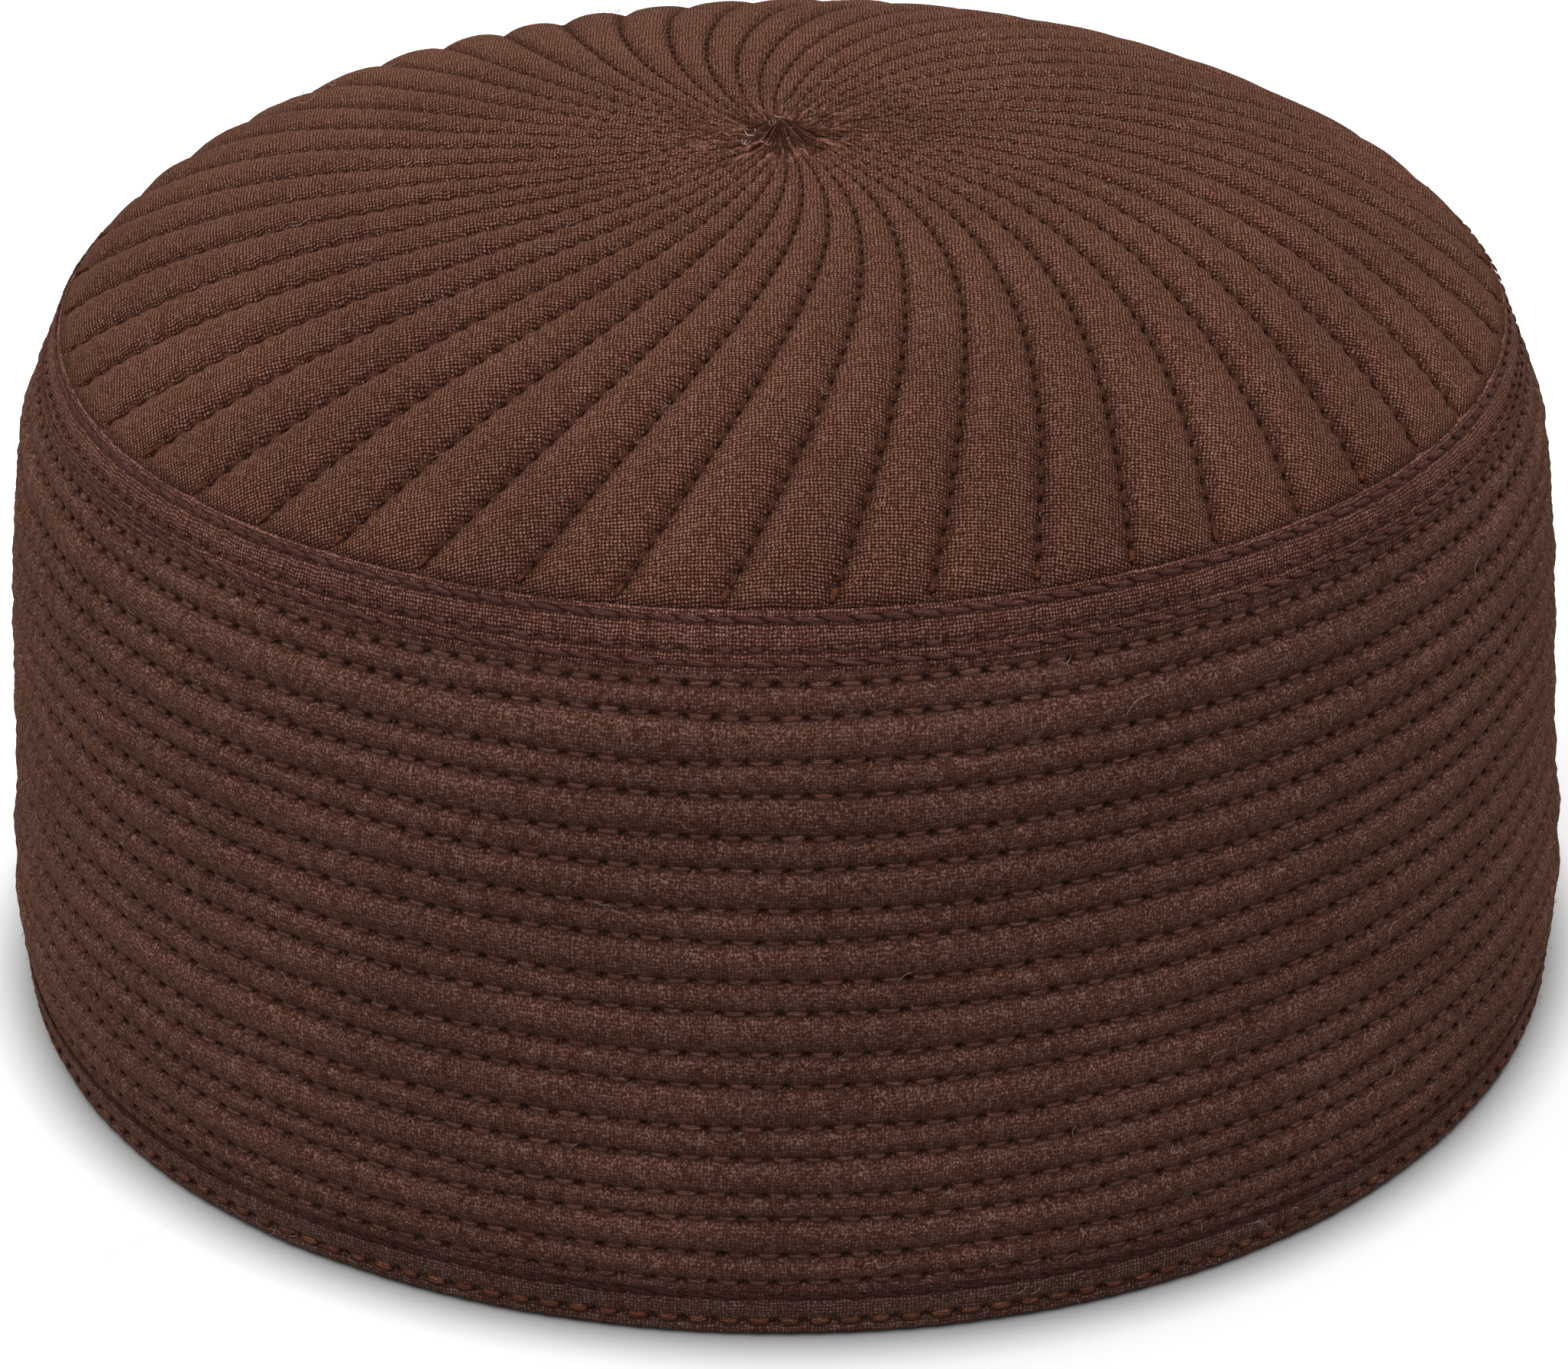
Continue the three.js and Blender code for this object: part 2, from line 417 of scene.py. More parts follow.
def stitch_pull(distance, stitch, spacing, depth, seed):
    """How far a row of stitches draws the cloth in: a dimple at each hole and a gather between them."""
    kinds = np.random.default_rng(seed).uniform(0.6, 1.3, HOLE_KINDS)
    own = kinds[np.round(stitch).astype(int) % HOLE_KINDS]
    aside = from_whole(stitch) * spacing
    hole = depth * own * bell(distance, HOLE_REACH) * bell(aside, HOLE_LENGTH)
    gather = GATHER_DEPTH * np.cos(TURN * stitch) * np.exp(-distance / GATHER_REACH)
    return hole + gather


def wall_spacing():
    """Length of a stitch round the wall."""
    return TURN * shape().widest_radius / shape().wall_stitches


def tighten(share, amount):
    """Moves evenly spaced shares of a channel towards its two stitched lines."""
    return share - amount * np.sin(TURN * share) / TURN


# The crown


def crown_slope(reach):
    look = shape()
    return look.crown_fullness * look.crown_rise * reach ** (look.crown_fullness - 1) / seam_radius()


def seam_radius():
    look = shape()
    return look.widest_radius - look.crown_inset


def crown_place(turn, reach, out):
    """Points on the crown, out from its stitched lines, and its outward directions there."""
    look = shape()
    slope = crown_slope(reach)
    length = np.sqrt(1 + slope**2)
    radial, upright = slope / length, 1 / length
    height = look.seam_height + look.crown_rise * (1 - reach**look.crown_fullness)
    radius = seam_radius() * reach + radial * out
    cos, sin = np.cos(TURN * turn), np.sin(TURN * turn)
    points = np.stack([radius * cos, radius * sin, height + upright * out], -1)
    outward = np.stack([radial * cos, radial * sin, upright * np.ones_like(cos)], -1)
    return points, outward


def swirl_turn(reach):
    """How far a stitched line has turned at a reach, as a share of a full turn."""
    look = shape()
    return (look.first_line - look.swirl * (1.15 * reach - 0.15 * reach**3)) / TURN


def line_turn(line, reach):
    """Where a stitched line of the crown lies at a reach, as a share of a full turn."""
    count = shape().rib_count
    stray = LINE_WAVER * drift(23, line % count, reach * 0.35, (1, 7))
    return (line + stray) / count + swirl_turn(reach)


def crown_reaches():
    """Reaches of the crown's rings, so that each stitch along a line is as long as the next."""
    look = shape()
    fine = np.linspace(0, 1, 2001)
    sideways = fine * np.gradient(TURN * swirl_turn(fine), fine)
    pace = np.sqrt(1 + crown_slope(fine) ** 2 + sideways**2)
    length = np.concatenate([[0], np.cumsum((pace[1:] + pace[:-1]) / 2)])
    rings = look.line_stitches * RINGS_PER_STITCH
    return np.interp(np.linspace(0, length[-1], rings + 1), length, fine)


def crown_flat(reach):
    """Distance from the middle of the crown over its surface."""
    fine = np.linspace(0, 1, 501)
    pace = seam_radius() * np.sqrt(1 + crown_slope(fine) ** 2)
    length = np.concatenate([[0], np.cumsum((pace[1:] + pace[:-1]) / 2 * np.diff(fine))])
    return np.interp(reach, fine, length)


# Meshes


def spin_outline(name, corners, cuts, steps, cuts_round, outer_edges):
    """A closed shell spun in steps from an outline, then cut finer; each edge has its number of pieces.

    The first outer_edges edges are the outside, which the mesh attribute "outside" marks with 1.
    """
    bm = bmesh.new()
    outside = bm.verts.layers.float.new("outside")
    points = [bm.verts.new((radius, 0, height)) for radius, height in corners]
    for point in points[: outer_edges + 1]:
        point[outside] = 1
    on_axis = corners[0][0] == 0
    ends = points[1:] if on_axis else points[1:] + points[:1]
    edges = [bm.edges.new(pair) for pair in zip(points, ends)]
    for edge, pieces in zip(edges, cuts):
        if pieces > 1:
            bmesh.ops.subdivide_edges(bm, edges=[edge], cuts=pieces - 1)
    bmesh.ops.spin(
        bm, geom=bm.verts[:] + bm.edges[:], cent=(0, 0, 0), axis=(0, 0, 1), angle=TURN,
        steps=steps, use_merge=True)
    bmesh.ops.remove_doubles(bm, verts=bm.verts[:], dist=SAME_PLACE)
    level = [edge for edge in bm.edges if runs_round(edge)]
    bmesh.ops.subdivide_edges(bm, edges=level, cuts=cuts_round - 1, use_grid_fill=True)
    bmesh.ops.recalc_face_normals(bm, faces=bm.faces[:])
    for face in bm.faces:
        face.smooth = True
    return finished_mesh(name, bm)


def finished_mesh(name, bm):
    mesh = bpy.data.meshes.new(name)
    bm.to_mesh(mesh)
    bm.free()
    return mesh


def runs_round(edge):
    """Whether an edge of a spun shell runs round the axis, not along the outline."""
    first, last = (vert.co for vert in edge.verts)
    level = abs(first.z - last.z) < SAME_PLACE
    return level and abs(first.xy.length - last.xy.length) < 10 * SAME_PLACE


def read_points(mesh):
    points = np.empty(len(mesh.vertices) * 3)
    mesh.vertices.foreach_get("co", points)
    return points.reshape(-1, 3)


def write_points(mesh, points):
    mesh.vertices.foreach_set("co", settled(points).astype(np.float32).ravel())
    mesh.update()


def column_turn(points, columns):
    """Where each point's column lies, as a share of a full turn."""
    turn = np.arctan2(points[:, 1], points[:, 0]) / TURN
    return np.round(turn * columns) % columns / columns


def read_outside(mesh):
    outside = np.empty(len(mesh.vertices))
    mesh.attributes["outside"].data.foreach_get("value", outside)
    return outside > 0.5


def corner_table(mesh):
    """The vertex of each face corner, and the face that each corner is in."""
    vertex = np.empty(len(mesh.loops), int)
    mesh.loops.foreach_get("vertex_index", vertex)
    sizes = np.empty(len(mesh.polygons), int)
    mesh.polygons.foreach_get("loop_total", sizes)
    return vertex, np.repeat(np.arange(len(sizes)), sizes)


def face_means(values, face):
    return np.bincount(face, values) / np.bincount(face)


def write_uv(mesh, name, across, along):
    layer = mesh.uv_layers.new(name=name)
    layer.data.foreach_set("uv", np.stack([across, along], -1).astype(np.float32).ravel())


def write_value(mesh, name, values):
    layer = mesh.attributes.new(name, "FLOAT", "POINT")
    layer.data.foreach_set("value", values.astype(np.float32))


def unwrapped(turn, face):
    """Turns at face corners, where a face across the start of the circle keeps its corners together."""
    first = np.full(face.max() + 1, np.inf)
    np.minimum.at(first, face, turn)
    return np.where(turn - first[face] > 0.5, turn - 1, turn)


def add_piece(mesh, material, node):
    """Puts a finished mesh in the scene, riding on the cap; node is the solid that it stands for, if any."""
    piece = bpy.data.objects.new(mesh.name, mesh)
    bpy.context.scene.collection.objects.link(piece)
    mesh.materials.clear()
    mesh.materials.append(material)
    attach(piece, "root")
    if node:
        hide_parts(node)
    return piece


def sew_wall_mesh():
    """The wall's mesh: level channels between stitched rows outside, a plain lining inside."""
    look = shape()
    lines = wall_lines()
    top, bottom = lines[-1] - WALL_GAP, lines[0] + WALL_GAP
    heights = [top, *lines[-2:0:-1], bottom]
    outer = [(wall_radius(height), height) for height in heights]
    inner = [(radius - look.cloth_thickness, height) for radius, height in (outer[-1], outer[0])]
    channels = len(outer) - 1
    cuts = [ROW_RINGS] * channels + [EDGE_RINGS, WALL_LINING_RINGS, EDGE_RINGS]
    mesh = spin_outline(
        "quilted_wall", outer + inner, cuts, look.wall_stitches, COLUMNS_PER_STITCH, channels)

    points = read_points(mesh)
    outside = read_outside(mesh)
    turn = column_turn(points, look.wall_stitches * COLUMNS_PER_STITCH)
    height = points[:, 2]
    low = np.clip(np.searchsorted(lines, height) - 1, 0, len(lines) - 2)
    tall = lines[low + 1] - lines[low]
    share = np.clip((height - lines[low]) / tall, 0, 1)
    share = np.where(outside, tighten(share, WALL_TIGHTENING), share)
    below, above = row_height(low, turn), row_height(low + 1, turn)
    placed = np.where(outside, below + (above - below) * share, height)

    full = np.clip(tall / FULL_CHANNEL, 0, 1)
    swell = 1 + 0.16 * drift(31, low, turn, (5, 40))
    puff = look.channel_puff * full * swell * (1 - np.abs(2 * share - 1) ** CHANNEL_FLATNESS)
    for line, distance in ((low, share * tall), (low + 1, (1 - share) * tall)):
        stitch = turn * look.wall_stitches - row_start(line)
        pull = stitch_pull(distance, stitch, wall_spacing(), depth=0.24 * MM, seed=41)
        puff = puff - np.where((line > 0) & (line < len(lines) - 1), pull, 0)
    soft = 0.10 * MM * unevenness(points, seed=51, shortest=5 * MM, longest=16 * MM)
    out = np.where(outside, puff + soft * np.sin(np.pi * share), 0)
    depth = np.where(outside, 0, wall_radius(height) - np.hypot(points[:, 0], points[:, 1]))
    placed_points, _ = wall_place(turn, placed, out - depth)
    write_points(mesh, placed_points)

    vertex, face = corner_table(mesh)
    corner_turn = unwrapped(turn[vertex], face)
    write_wall_weave(mesh, corner_turn, placed[vertex])
    middle = face_means(height[vertex], face)[face]
    nearest = np.abs(middle[:, None] - lines).argmin(1)
    away = np.abs(placed[vertex] - row_height(nearest, turn[vertex]))
    sewn = (nearest > 0) & (nearest < len(lines) - 1)
    stitch = np.where(sewn, corner_turn * look.wall_stitches - row_start(nearest), BETWEEN_HOLES)
    write_uv(mesh, "quilt", stitch, np.where(outside[vertex], away / MM, UNSEWN))
    most, width = WALL_FUZZ_AND_HIGHLIGHT
    # Painted highlight: more lit fibres on the upper part of each channel, which faces the light
    write_value(mesh, "fuzz_and_highlight", np.where(outside, bell(share - most, width) * full, 0))
    return mesh


def write_wall_weave(mesh, turn, height):
    """Yarn counts round and up the wall, at each face corner."""
    write_uv(
        mesh, "weave",
        turn * TURN * shape().widest_radius / cloth().yarn_across,
        np.interp(height, *flat_heights()) / cloth().yarn_up)


def flat_heights():
    """Heights up the wall, and the distance over its surface from the rim to each."""
    heights = np.linspace(0, shape().seam_height, 200)
    radii = wall_radius(heights)
    steps = np.hypot(np.diff(heights), np.diff(radii))
    return heights, np.concatenate([[0], np.cumsum(steps)])


def crown_knot(turn, radius):
    """Height of the pinched knot in the middle of the crown, and of the gathers round it."""
    folds = 0.5 * np.sin(TURN * KNOT_FOLDS * turn + 3 * drift(64, 0, turn, (1, 6)))
    folds = folds * bell(radius - KNOT_FOLDS_AT, 3.2 * MM) * 0.7
    return MM * (KNOT_HEIGHT * bell(radius, KNOT_WIDTH) + folds)


def sew_crown_mesh():
    """The crown's mesh: swirling ribs between stitched lines outside, a plain lining inside."""
    look = shape()
    reaches = crown_reaches()
    rings = len(reaches) - 1
    seam, thick = seam_radius(), look.cloth_thickness
    corners = [(0, 1), (seam, 1), (seam, 0), (0, 0)]
    cuts = [rings, EDGE_RINGS, CROWN_LINING_RINGS]
    mesh = spin_outline("quilted_crown", corners, cuts, look.rib_count * 2, COLUMNS_PER_RIB // 2, 1)

    points = read_points(mesh)
    outside = read_outside(mesh)
    radius = np.hypot(points[:, 0], points[:, 1])
    reach = np.clip(radius / seam, 0, 1)
    ring = np.where(outside, np.round(reach * rings), reach * rings)
    turn = column_turn(points, look.rib_count * COLUMNS_PER_RIB)
    reach = np.where(outside, np.interp(ring, np.arange(rings + 1), reaches), reach)
    rib = turn * look.rib_count
    line = np.floor(rib + 1e-4).astype(int)
    share = tighten(np.clip(rib - line, 0, 1), CROWN_TIGHTENING)
    start, end = line_turn(line, reach), line_turn(line + 1, reach)
    placed_turn = start + (end - start) * share

    fullness = smooth_curve(reach, RIB_FULLNESS)
    swell = 1 + 0.10 * drift(61, line % look.rib_count, reach * 0.5, (1, 12))
    puff = look.rib_puff * fullness * swell * (1 - np.abs(2 * share - 1) ** RIB_FLATNESS)
    wide = reach * seam * TURN / look.rib_count
    stitch_length = crown_flat(1.0) / look.line_stitches
    crowding = np.clip(wide / CROWDED_RIB, 0, 1)
    for which, distance in ((line, share * wide), (line + 1, (1 - share) * wide)):
        stitch = ring / RINGS_PER_STITCH - line_start(which % look.rib_count)
        puff = puff - crowding * stitch_pull(distance, stitch, stitch_length, depth=0.3 * MM, seed=71)
    soft = 0.08 * MM * unevenness(points * [1, 1, 0], seed=81, shortest=5 * MM, longest=14 * MM)
    out = np.where(outside, puff + soft * np.sin(np.pi * share) * fullness, 0)
    out = out + np.where(outside, crown_knot(placed_turn, reach * seam), 0)
    sunk = np.where(outside, 0, (1 - points[:, 2]) * thick)
    placed_points, _ = crown_place(placed_turn, reach, out - sunk)
    write_points(mesh, placed_points)

    vertex, face = corner_table(mesh)
    reach_flat = crown_flat(reach[vertex])
    angle = TURN * placed_turn[vertex]
    write_uv(
        mesh, "weave",
        reach_flat * np.cos(angle) / cloth().yarn_across,
        reach_flat * np.sin(angle) / cloth().yarn_up)
    corner_rib = unwrapped(turn[vertex], face) * look.rib_count
    nearest = np.round(face_means(corner_rib, face)).astype(int)[face]
    local = np.clip(np.abs(corner_rib - nearest), 0, 0.5)
    away = tighten(local, CROWN_TIGHTENING) * wide[vertex]
    stitch = ring[vertex] / RINGS_PER_STITCH - line_start(nearest % look.rib_count)
    to_seam = crown_flat(1.0) - reach_flat
    at_seam = face_means(to_seam, face)[face] < SEAM_CREASE
    stitch = np.where(at_seam | (wide[vertex] < BARE_RIB), BETWEEN_HOLES, stitch)
    narrowing = np.clip(FULL_RIB / np.maximum(wide[vertex], 1e-6), 1, 8)
    away = np.where(at_seam, to_seam, away * narrowing)
    write_uv(mesh, "quilt", stitch, np.where(outside[vertex], away / MM, UNSEWN))
    # Painted highlight: more lit fibres on the side of each rib that is lit most
    write_value(mesh, "fuzz_and_highlight", np.where(outside, bell(share - CROWN_FUZZ_AND_HIGHLIGHT, CROWN_FUZZ_AND_HIGHLIGHT) * crowding * 0.5, 0))
    write_value(mesh, "middle", np.where(outside, bell(reach * seam, MIDDLE_REACH), 0))
    return mesh


def line_start(line):
    """Where the first stitch of a crown line starts, in stitches."""
    steps = np.random.default_rng(7).integers(0, RINGS_PER_STITCH, 200)
    return steps[line] / RINGS_PER_STITCH


def strip_mesh(name, low, high, puff, thickness, rows, fold):
    """A flat strip of folded cloth round the wall, from height low to high, with stitched rows in it.

    Its fold follows one of the wall's lines, the number fold: 0 for the hem, the last for the welt.
    """
    look = shape()
    radius = STRIP_INSIDE + STRIP_DEPTH
    corners = [(radius, high), (radius, low), (STRIP_INSIDE, low), (STRIP_INSIDE, high)]
    cuts = [TRIM_RINGS, EDGE_RINGS, TRIM_LINING_RINGS, EDGE_RINGS]
    mesh = spin_outline(name, corners, cuts, look.wall_stitches, COLUMNS_PER_STITCH, 1)
    points = read_points(mesh)
    outside = read_outside(mesh)
    turn = column_turn(points, look.wall_stitches * COLUMNS_PER_STITCH)
    near = np.clip((np.hypot(points[:, 0], points[:, 1]) - STRIP_INSIDE) / STRIP_DEPTH, 0, 1)
    share = np.clip((points[:, 2] - low) / (high - low), 0, 1)
    share = np.where(outside, tighten(share, STRIP_TIGHTENING), share)
    at_rim = fold == 0
    to_fold, from_fold = (share, 1 - share) if at_rim else (1 - share, share)
    stray = row_height(fold, turn) - wall_lines()[fold]
    placed = low + (high - low) * share + stray * to_fold
    rounding = np.clip(np.minimum(share, 1 - share) * (high - low) / STRIP_ROUNDING, 0, 1)
    out = puff * np.sqrt(1 - (1 - rounding) ** 2)
    lap = np.clip(1 - from_fold / FOLD_SHARE, 0, 1)
    placed = placed + FOLD_LAP * lap**2 * (1 if at_rim else -1)
    out = np.maximum(out, FOLD_OUT * lap**0.5)
    if at_rim:
        out = out - look.rim_tuck * np.clip(1 - placed / RIM_ROLL, 0, 1) ** 2
    crease_depth, crease_reach = TRIM_CREASE
    for number, (row, holes) in enumerate(rows):
        distance = np.abs(placed - row)
        stitch = turn * look.wall_stitches - row_start(FIRST_TRIM_ROW + number)
        if holes:
            out = out - stitch_pull(distance, stitch, wall_spacing(), depth=0.22 * MM, seed=95)
        out = out - crease_depth * bell(distance, crease_reach)
    soft = 0.08 * MM * unevenness(points, seed=96, shortest=4 * MM, longest=12 * MM)
    out = np.where(outside, out + soft, 0) - (1 - near) * thickness
    placed_points, _ = wall_place(turn, placed, out)
    write_points(mesh, placed_points)

    vertex, face = corner_table(mesh)
    corner_turn = unwrapped(turn[vertex], face)
    write_wall_weave(mesh, corner_turn, placed[vertex])
    row_heights, row_holes = (np.array(column) for column in zip(*rows))
    middle = face_means(placed[vertex], face)[face]
    nearest = np.abs(middle[:, None] - row_heights).argmin(1)
    away = np.abs(placed[vertex] - row_heights[nearest])
    stitch = corner_turn * look.wall_stitches - row_start(FIRST_TRIM_ROW + nearest)
    stitch = np.where(row_holes[nearest], stitch, BETWEEN_HOLES)
    write_uv(mesh, "quilt", stitch, np.where(outside[vertex], away / MM, UNSEWN))
    return mesh


# Stitches and lint


def template_from(bm):
    """A small mesh's points and faces, for copies of it."""
    bm.verts.index_update()
    points = np.array([vert.co[:] for vert in bm.verts])
    faces = [[vert.index for vert in face.verts] for face in bm.faces]
    bm.free()
    return points, faces


def stitch_template():
    """One stitch's thread: a spindle along Z with few faces."""
    bm = bmesh.new()
    bmesh.ops.create_uvsphere(bm, u_segments=6, v_segments=4, radius=1)
    return template_from(bm)


def lint_template():
    """A straight thin fibre along Z from -1 to 1."""
    bm = bmesh.new()
    bmesh.ops.create_cone(bm, cap_ends=True, segments=3, radius1=1, radius2=1, depth=2)
    upright = [edge for edge in bm.edges if abs(edge.verts[0].co.z - edge.verts[1].co.z) > 1]
    bmesh.ops.subdivide_edges(bm, edges=upright, cuts=6)
    return template_from(bm)


def repeat_mesh(name, points, faces):
    """One mesh from many copies of a template; points has a row of placed points for each copy."""
    copies, count = points.shape[:2]
    everywhere = [
        [corner + copy * count for corner in face] for copy in range(copies) for face in faces
    ]
    mesh = bpy.data.meshes.new(name)
    mesh.from_pydata(settled(points).reshape(-1, 3).tolist(), [], everywhere)
    mesh.polygons.foreach_set("use_smooth", [True] * len(mesh.polygons))
    mesh.update()
    return mesh


def stitch_mesh(name, middles, headings, outward, lengths, widths, rise):
    """Threads that lie on the cloth from hole to hole and bend down into it at both ends."""
    template, faces = stitch_template()
    aside = np.cross(outward, headings)
    aside /= np.linalg.norm(aside, axis=1, keepdims=True)
    along, across, up = template[:, 2], template[:, 0], template[:, 1]
    lift = rise * (1 - along**2) - rise * along**4
    points = (
        middles[:, None]
        + headings[:, None] * (lengths[:, None, None] / 2) * along[:, None]
        + aside[:, None] * (widths[:, None, None] / 2) * across[:, None]
        + outward[:, None] * ((widths[:, None] * THREAD_FLATNESS) * up + lift)[..., None]
    )
    mesh = repeat_mesh(name, points, faces)
    vertex, _ = corner_table(mesh)
    copy, corner = vertex // len(template), vertex % len(template)
    write_uv(mesh, "strand", along[corner] * 0.5 + copy * STRAND_STEP, across[corner] * 0.5)
    return mesh


def lively(count, seed, low, high):
    """Even random draws from low to high."""
    return np.random.default_rng(seed).uniform(low, high, count)


def each_pair(first, second):
    """Every item of the first list with every item of the second, as two long lists."""
    return [side.ravel() for side in np.meshgrid(first, second, indexing="ij")]


def level_headings(turn, slant):
    """Directions round the cap at each turn that climb by the slant."""
    headings = np.stack([-np.sin(TURN * turn), np.cos(TURN * turn), slant], -1)
    return headings / np.linalg.norm(headings, axis=1, keepdims=True)


def threads_between(starts, ends):
    """Middles, headings, outward directions and lengths of threads; each end is placed points and
    their outward directions."""
    (first, outward), (last, _) = starts, ends
    headings = last - first
    lengths = np.linalg.norm(headings, axis=1)
    return (first + last) / 2, headings / lengths[:, None], outward, lengths


def wall_row_stitches():
    """Places of the stitches on the wall's rows."""
    count = shape().wall_stitches
    line, number = each_pair(np.arange(1, len(wall_lines()) - 1), np.arange(count))
    turn = (number + 0.5 + row_start(line)) / count
    middles, outward = wall_place(turn, row_height(line, turn % 1), 0.13 * MM)
    headings = level_headings(turn, lively(len(turn), 101, -0.10, 0.10))
    lengths = wall_spacing() * lively(len(turn), 102, 0.74, 0.92)
    widths = lively(len(turn), 103, 0.60, 0.90) * MM
    return middles, headings, outward, lengths, widths


def crown_line_stitches():
    """Places of the stitches on the crown's lines."""
    look = shape()
    reaches = crown_reaches()
    line, number = each_pair(np.arange(look.rib_count), np.arange(1, look.line_stitches))
    start = (number + line_start(line)) * RINGS_PER_STITCH
    rings = np.arange(len(reaches))
    wide = np.interp(start, rings, reaches) * seam_radius() * TURN / look.rib_count
    kept = (start + RINGS_PER_STITCH < rings[-1]) & (wide > THREADLESS_RIB)
    line, start, wide = line[kept], start[kept], wide[kept]
    ends = []
    for ring in (start, start + RINGS_PER_STITCH):
        reach = np.interp(ring, rings, reaches)
        ends.append(crown_place(line_turn(line, reach), reach, 0.05 * MM))
    *places, lengths = threads_between(*ends)
    widths = np.minimum(0.10 * wide + 0.10 * MM, 0.62 * MM) * lively(len(line), 105, 0.75, 1.2)
    return *places, lengths * 0.84, widths


def seam_tacks():
    """Places of the thick last stitch of each crown line, where it runs out at the seam."""
    line = np.arange(shape().rib_count)
    ends = []
    for reach in TACK_REACHES:
        reach = np.full(len(line), reach)
        ends.append(crown_place(line_turn(line, reach), reach, 0.25 * MM))
    *places, lengths = threads_between(*ends)
    lengths = lengths * lively(len(line), 106, 0.6, 1.15)
    return *places, lengths, lively(len(line), 107, 0.5, 0.9) * MM


def middle_strands(count, seed):
    """Places of the strands that are gathered round the crown's middle."""
    draw = np.random.default_rng(seed)
    line = draw.uniform(0, 1, count)
    near = 0.012 + 0.13 * draw.uniform(0, 1, count) ** 1.3
    far = near + draw.uniform(0.010, 0.034, count)
    ends = []
    for reach in (near, far):
        turn = line + swirl_turn(reach) + 0.004 * draw.normal(size=count)
        lift = 0.12 * MM + crown_knot(turn, reach * seam_radius())
        ends.append(crown_place(turn, reach, lift))
    return *threads_between(*ends), draw.uniform(0.12, 0.34, count) * MM


def trim_row_stitches(rows, seed, above):
    """Places of the stitches on rows of the welt or hem; above gives the height of a row's distance."""
    count = shape().wall_stitches
    line, number = each_pair(np.arange(len(rows)), np.arange(count))
    distance, width, fill, slant, _ = (column[line] for column in np.array(rows, float).T)
    turn = (number + 0.5 + row_start(FIRST_TRIM_ROW + line)) / count
    middles, outward = wall_place(turn, above(distance * MM), 0.32 * MM)
    headings = level_headings(turn, slant + lively(len(turn), seed, -0.06, 0.06))
    lengths = wall_spacing() * fill * lively(len(turn), seed + 1, 0.85, 1.1)
    widths = width * MM * lively(len(turn), seed + 2, 0.85, 1.15)
    return middles, headings, outward, lengths, widths


def lint_mesh(name, count, seed):
    """Loose fibres, curled, that lie on the crown and the wall."""
    look = shape()
    draw = np.random.default_rng(seed)
    turn = draw.uniform(0, 1, count)
    on_crown = draw.uniform(0, 1, count) < LINT_ON_CROWN
    reach = np.sqrt(draw.uniform(0.0, 0.96, count))
    on_crown[:MIDDLE_FIBRES] = True
    reach[:MIDDLE_FIBRES] = draw.uniform(0, 0.06, MIDDLE_FIBRES)
    height = draw.uniform(1 * MM, look.seam_height - 1 * MM, count)
    above = look.rib_puff * 0.75 * np.clip(reach * 8, 0, 1) + crown_knot(turn, reach * seam_radius())
    on_wall = wall_place(turn, height, look.channel_puff * 0.9)
    middles, outward = (
        np.where(on_crown[:, None], crown, wall)
        for crown, wall in zip(crown_place(turn, reach, above), on_wall)
    )
    heading = draw.normal(size=(count, 3))
    heading -= outward * (heading * outward).sum(1, keepdims=True)
    heading /= np.linalg.norm(heading, axis=1, keepdims=True)
    template, faces = lint_template()
    along = template[:, 2]
    half = (0.25 + 1.5 * draw.uniform(0, 1, (count, 1)) ** 2) * MM
    half[:THICK_FIBRES] = 1.3 * MM
    curl = draw.uniform(-2.4, 2.4, (count, 1))
    curl = np.where(np.abs(curl) < 0.2, 0.2, curl)
    forward = half * np.sin(curl * along) / curl
    sideways = half * (1 - np.cos(curl * along)) / curl
    lift = draw.uniform(0.02, 0.5, (count, 1)) * MM * along**2 + 0.05 * MM
    thin = draw.uniform(0.018, 0.034, (count, 1)) * MM
    thin[:THICK_FIBRES] = 0.07 * MM
    points = (
        middles[:, None]
        + heading[:, None] * (forward + thin * template[:, 0])[..., None]
        + np.cross(outward, heading)[:, None] * (sideways + thin * template[:, 0])[..., None]
        + outward[:, None] * (lift + thin * template[:, 1])[..., None]
    )
    return repeat_mesh(name, points, faces)


# Materials


